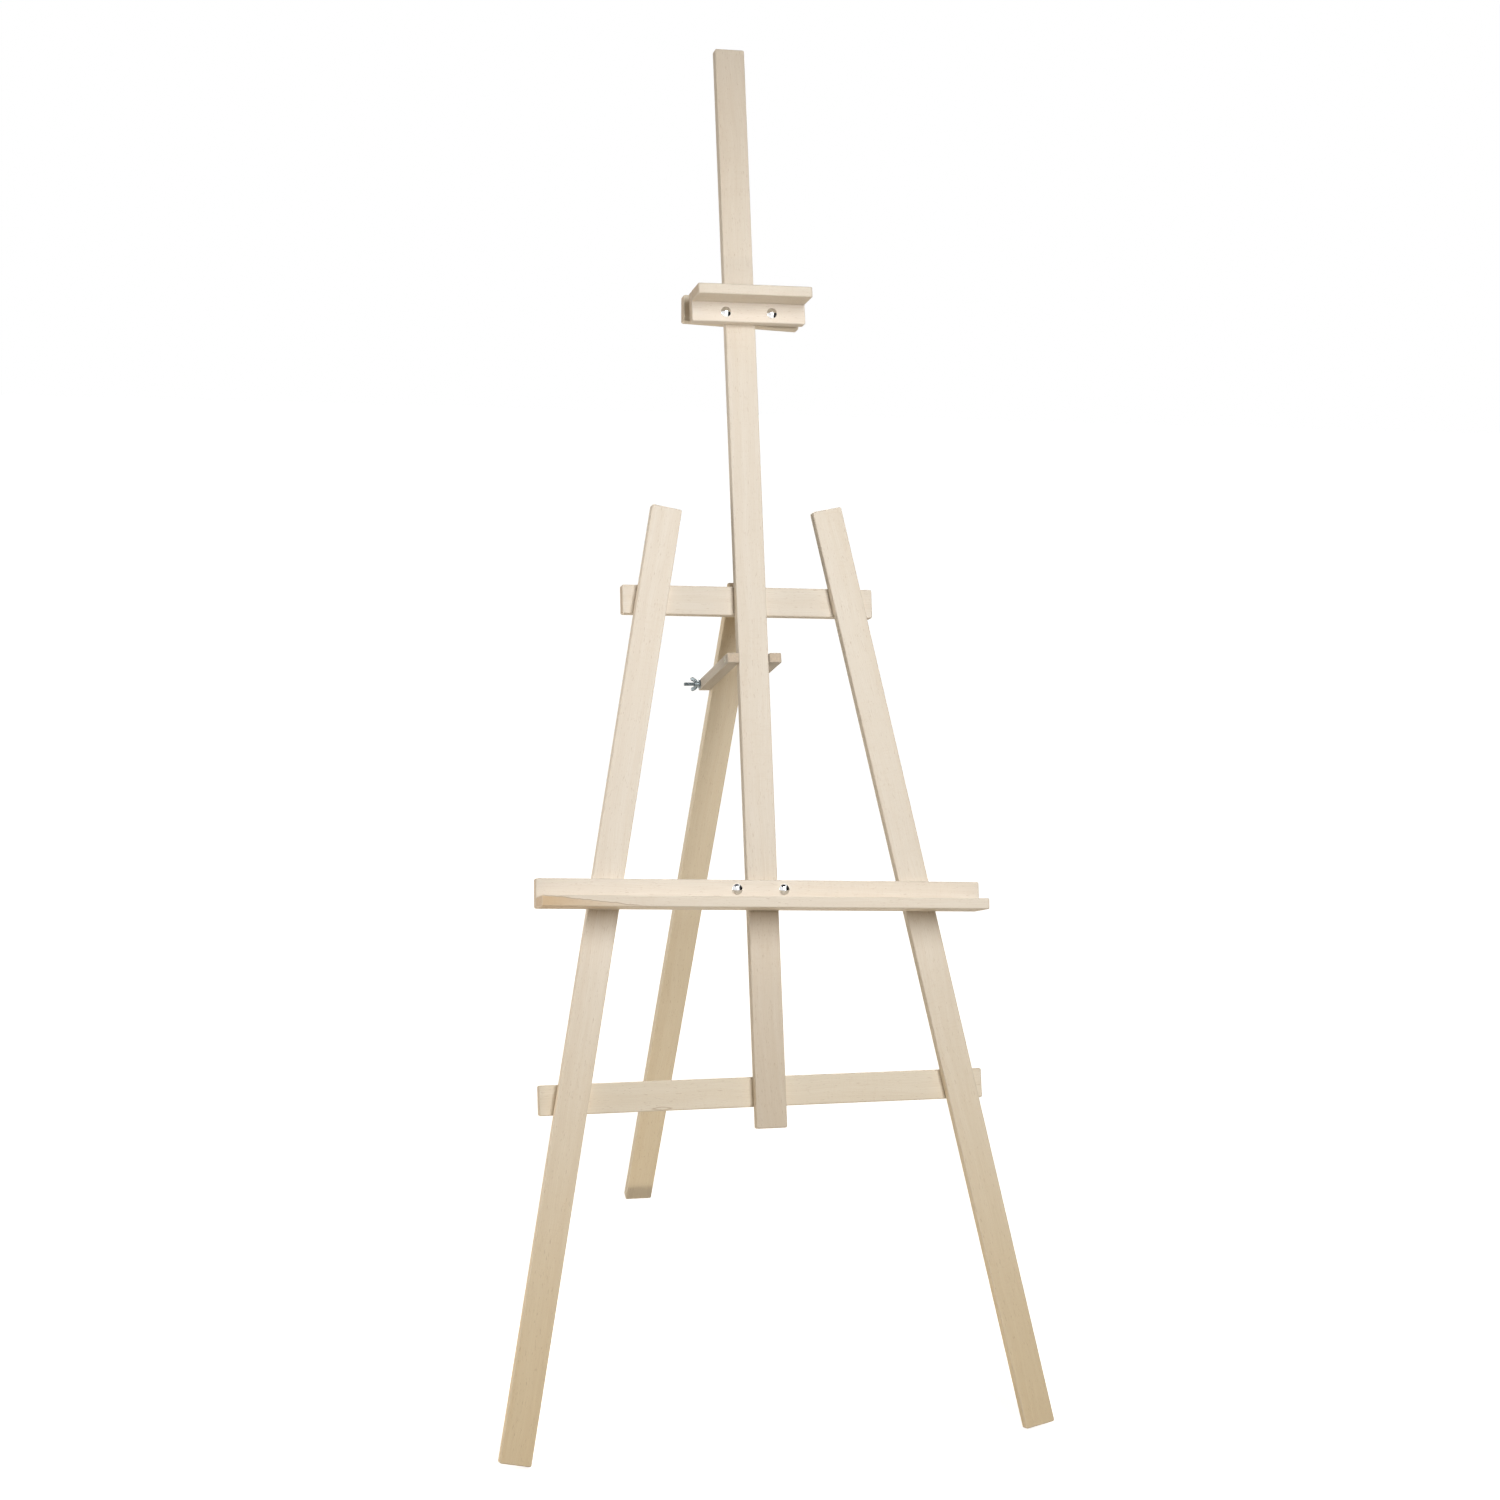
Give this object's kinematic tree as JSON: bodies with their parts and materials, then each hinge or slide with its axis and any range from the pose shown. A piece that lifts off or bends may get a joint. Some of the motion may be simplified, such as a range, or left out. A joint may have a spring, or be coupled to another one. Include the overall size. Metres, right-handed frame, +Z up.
{
  "type": "artist easel",
  "caption": "Wooden studio easel: leaning A-frame with a hinged rear leg, a sliding canvas tray and a canvas holder clamped to the mast by bolts and wing nuts.",
  "frame": {"origin": "on the floor, under the middle of the easel's bounding box", "axes": "+Z up, X across the easel, the canvas faces -Y and the rear leg stands at +Y"},
  "size_m": [0.7212, 0.8436, 1.7093],
  "materials": {
    "planed_wood": "planed, unvarnished",
    "bolt_chrome": "bright plated",
    "zinc_steel": "zinc plated",
    "screw_steel": "yellow zinc plated"
  },
  "bodies": {
    "frame": {"mast": "planed_wood", "left_front_leg": "planed_wood", "right_front_leg": "planed_wood", "upper_crossbar": "planed_wood", "lower_crossbar": "planed_wood", "upper_crossbar_screws": "screw_steel", "lower_crossbar_screws": "screw_steel", "hinge_fixed_leaf": "zinc_steel", "hinge_pin": "zinc_steel", "hinge_crossbar_screws": "screw_steel", "left_brace_slat": "planed_wood", "right_brace_slat": "planed_wood", "brace_slat_screws": "screw_steel", "brace_bolt": "zinc_steel", "brace_washer": "zinc_steel"},
    "rear_leg": {"rear_leg": "planed_wood", "hinge_moving_leaf": "zinc_steel", "hinge_leg_screws": "screw_steel"},
    "tray": {"tray_plate": "planed_wood", "tray_ledge": "planed_wood", "tray_ledge_screws": "screw_steel", "tray_clamp_plate": "planed_wood", "tray_bolts": "bolt_chrome", "tray_washers": "zinc_steel"},
    "holder": {"holder_plate": "planed_wood", "holder_ledge": "planed_wood", "holder_ledge_screws": "screw_steel", "holder_clamp_plate": "planed_wood", "holder_bolts": "bolt_chrome", "holder_washers": "zinc_steel"},
    "brace_wing_nut": {"brace_wing_nut": "zinc_steel"},
    "left_tray_wing_nut": {"left_tray_wing_nut": "zinc_steel"},
    "right_tray_wing_nut": {"right_tray_wing_nut": "zinc_steel"},
    "left_holder_wing_nut": {"left_holder_wing_nut": "zinc_steel"},
    "right_holder_wing_nut": {"right_holder_wing_nut": "zinc_steel"}
  },
  "joints": [
    {"name": "rear_leg_fold", "type": "hinge", "parent": "frame", "child": "rear_leg", "pos_m": [0, -0.01926, 1.02552], "axis": [-1, 0, 0], "range_deg": [0, 36.5]},
    {"name": "tray_slide", "type": "slide", "parent": "frame", "child": "tray", "axis": [0, 0.342, 0.9397], "range_m": [-0.209, 0.275]},
    {"name": "holder_slide", "type": "slide", "parent": "frame", "child": "holder", "axis": [0, 0.342, 0.9397], "range_m": [-0.33, 0.333]},
    {"name": "brace_nut_spin", "type": "hinge", "parent": "frame", "child": "brace_wing_nut", "pos_m": [-0.0376, 0.04998, 0.88103], "axis": [-1, 0, 0], "continuous": true},
    {"name": "left_tray_nut_spin", "type": "hinge", "parent": "tray", "child": "left_tray_wing_nut", "pos_m": [-0.03784, -0.15538, 0.65124], "axis": [0, 0.9397, -0.342], "continuous": true},
    {"name": "right_tray_nut_spin", "type": "hinge", "parent": "tray", "child": "right_tray_wing_nut", "pos_m": [0.02414, -0.15599, 0.64956], "axis": [0, 0.9397, -0.342], "continuous": true},
    {"name": "left_holder_nut_spin", "type": "hinge", "parent": "holder", "child": "left_holder_wing_nut", "pos_m": [-0.023, 0.10232, 1.35926], "axis": [0, 0.9397, -0.342], "continuous": true},
    {"name": "right_holder_nut_spin", "type": "hinge", "parent": "holder", "child": "right_holder_wing_nut", "pos_m": [0.039, 0.10232, 1.35926], "axis": [0, 0.9397, -0.342], "continuous": true}
  ]
}
